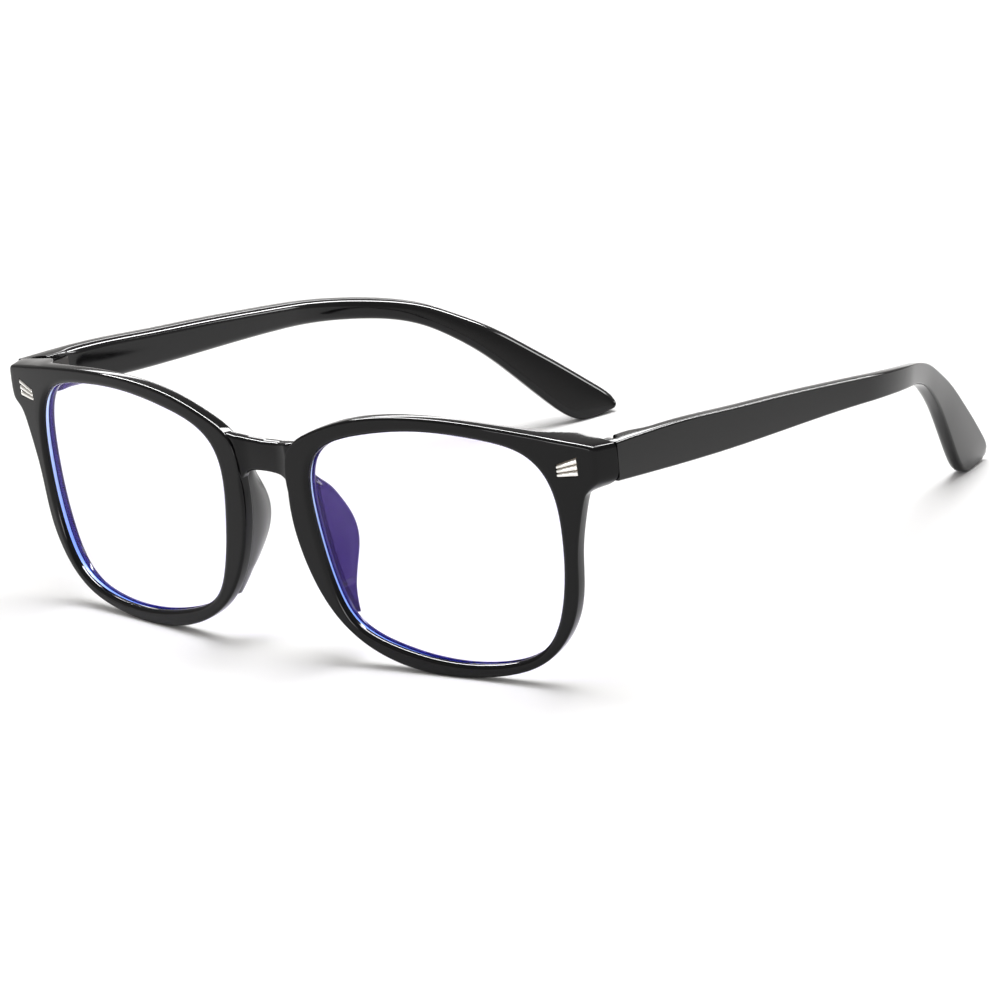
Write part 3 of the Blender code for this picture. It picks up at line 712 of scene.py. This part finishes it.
def build_pad(name, material):
    """A fin on the back of the rim's nose side: a swollen lobe that ends in a lip, and a thin web below."""
    edge = cubic([(p[2], p[1], p[0]) for p in PAD_EDGE])
    nasal = cubic(RIM_OUTLINE, closed=True)(np.linspace(0, 1, OUTLINE_POINTS, endpoint=False))
    nasal = nasal[(nasal[:, 0] < 20) & (nasal[:, 1] < 14)]
    nasal = nasal[np.argsort(nasal[:, 1])]
    rings = []
    for s in np.linspace(0.0, 1.0, PAD_STATIONS):
        z, tip_y, tip_x = edge(s)[0]
        wall = np.interp(z, nasal[:, 1], nasal[:, 0])
        seat = thickness_at(wall) - PAD_SEAT
        near_root, far_root = [on_front(wall + offset, z, seat) for offset in PAD_ROOT]
        root = (near_root + far_root) / 2
        tip = np.array([tip_x, max(tip_y, root[1] + PAD_LEAST_REACH), z])
        axis = tip - root
        axis[2] = 0
        reach = np.linalg.norm(axis)
        axis /= reach
        side = np.array([axis[1], -axis[0], 0])
        lobe = float(smooth(PAD_LIP_Z - 1.0, PAD_LIP_Z + 0.6, z))
        half = min(PAD_TIP / 2 * (PAD_WEB_SHARE + (1 - PAD_WEB_SHARE) * lobe), 0.3 * reach)
        centre = tip - axis * half
        turns = np.radians(np.linspace(90, -90, 13))
        end = [centre + half * (axis * math.cos(a) - side * math.sin(a)) for a in turns]
        inner_swell = side * -PAD_INNER_SWELL
        outer_swell = side * (-PAD_WEB_HOLLOW + PAD_LOBE_SWELL * lobe)
        inner = swollen(near_root, end[0], inner_swell)
        outer = swollen(end[-1], far_root, outer_swell)
        rings.append([near_root, *inner, *end, *outer, far_root])
    return new_object(name, rings, material)


# ---------------------------------------------------------------- pieces

front_black = black_plastic("front_black", 0.07, 1.3)
temple_black = black_plastic("temple_black", 0.09, 1.36)
pad_black = black_plastic("pad_black", 0.18, 1.3)
coated = lens_material()
# the lens edge's material has a painted glow
glowing_edge = lens_edge_material()
bar_metal = metal("polished_bar", (0.93, 0.91, 0.87), 0.16)
# painted shade: the bed is dark metal so that the gaps between the bars look shaded
painted_shade_bed = metal("plaque_bed_painted_shade", (0.12, 0.1, 0.08), 0.4)
steel = metal("hinge_steel", (0.08, 0.077, 0.075), 0.3)

front = build_front(front_black)
pocket = plaque_wedge("pocket", POCKET_GAP, *POCKET_DEPTHS)
boolean(front, mirrored(pocket, "pocket_right"), "DIFFERENCE")
boolean(front, pocket, "DIFFERENCE")
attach(front, "front")
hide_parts("front_frame")

for piece, builder, materials, body, slot_name in (
    ("lens", build_lens, (coated, glowing_edge), "front", "lens"),
    ("nose_pad", build_pad, (pad_black,), "front", "pad_plastic"),
    ("rivet_plaque", build_plaque, (bar_metal, painted_shade_bed), "front", "plaque"),
    ("temple", build_temple, (temple_black,), "temple", "frame_plastic"),
):
    left = builder(piece + "_left_look", *materials)
    right = mirrored(left, piece + "_right_look")
    for obj, side in ((left, "left"), (right, "right")):
        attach(obj, f"{body}_{side}" if body == "temple" else body)
        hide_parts(f"{piece}_{side}")

for side in ("left", "right"):
    for hinge_piece in ("hinge_front_leaf", "hinge_temple_leaf", "hinge_screw"):
        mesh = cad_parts[f"{hinge_piece}_{side}"].data
        mesh.materials.clear()
        mesh.materials.append(steel)


# ---------------------------------------------------------------- floor, light and camera

def build_floor():
    bm = bmesh.new()
    bmesh.ops.create_grid(bm, x_segments=1, y_segments=1, size=3.0)
    floor = finish("floor", bm, floor_material())


def area_light(name, place_m, target_m, size_m, radiance, only_gloss=False):
    """A rectangular softbox, its first side across and its second up, aimed at a point."""
    data = bpy.data.lights.new(name, "AREA")
    data.shape = "RECTANGLE"
    data.size, data.size_y = size_m
    data.energy = math.pi * size_m[0] * size_m[1] * radiance
    light = bpy.data.objects.new(name, data)
    light.location = place_m
    light.rotation_euler = (Vector(target_m) - Vector(place_m)).to_track_quat("-Z", "Y").to_euler()
    light.visible_camera = False
    light.visible_diffuse = not only_gloss
    bpy.context.scene.collection.objects.link(light)


def build_world():
    """A studio that is bright at the horizon and dimmer overhead."""
    world = bpy.data.worlds.new("studio")
    world.use_nodes = True
    tree = world.node_tree
    place = tree.nodes.new("ShaderNodeTexCoord")
    parts = tree.nodes.new("ShaderNodeSeparateXYZ")
    tree.links.new(place.outputs["Generated"], parts.inputs["Vector"])
    level = tree.nodes.new("ShaderNodeMapRange")
    level.inputs["From Min"].default_value = 0.03
    level.inputs["From Max"].default_value = 0.14
    level.inputs["To Min"].default_value = 0.95
    level.inputs["To Max"].default_value = 0.45
    tree.links.new(parts.outputs["Z"], level.inputs["Value"])
    background = tree.nodes["Background"]
    background.inputs["Color"].default_value = (1.0, 0.98, 0.96, 1)
    tree.links.new(level.outputs["Result"], background.inputs["Strength"])
    bpy.context.scene.world = world


def build_lights():
    """One large softbox lights everything; the others only draw highlights along the rounded edges."""
    middle = (0.0, 0.0, 0.02)
    area_light("overhead", (0.2, 0.4, 3.0), middle, (1.9, 1.9), 7.0)
    area_light("strip_across", (-0.35, 0.1, 0.8), (-0.35, 0.1, 0.0), (1.3, 0.14), 100.0, only_gloss=True)
    area_light("strip_along", (0.12, 0.9, 0.8), (0.12, 0.9, 0.0), (0.14, 1.2), 60.0, only_gloss=True)
    area_light("backdrop_left", (-0.72, 0.83, 0.442), middle, (0.6, 0.13), 7.0, only_gloss=True)
    area_light("backdrop_right", (0.42, 0.95, 0.42), middle, (0.3, 0.16), 12.0, only_gloss=True)
    area_light("low_front", (0.03, -0.28, 0.02), (0.0, -0.07, 0.035), (0.1, 0.035), 9.0, only_gloss=True)


def build_camera():
    """The camera stands in front and to the wearer's left, a little above, and is rolled slightly."""
    azimuth, elevation = CAMERA_AZIMUTH, CAMERA_ELEVATION
    target = Vector(to_world(CAMERA_TARGET))
    level = math.cos(elevation)
    back = Vector((math.sin(azimuth) * level, -math.cos(azimuth) * level, math.sin(elevation)))
    data = bpy.data.cameras.new("camera")
    data.sensor_width = 36.0
    data.lens = CAMERA_LENS
    data.clip_start = 0.01
    camera = bpy.data.objects.new("camera", data)
    aim = Euler((math.pi / 2 - elevation, 0.0, azimuth)).to_matrix()
    turn = aim @ Matrix.Rotation(-CAMERA_ROLL, 3, "Z")
    camera.matrix_world = Matrix.Translation(target + back * CAMERA_DISTANCE_M) @ turn.to_4x4()
    bpy.context.scene.collection.objects.link(camera)
    bpy.context.scene.camera = camera


build_floor()
build_world()
build_lights()
build_camera()
bpy.context.scene.view_settings.view_transform = "Standard"
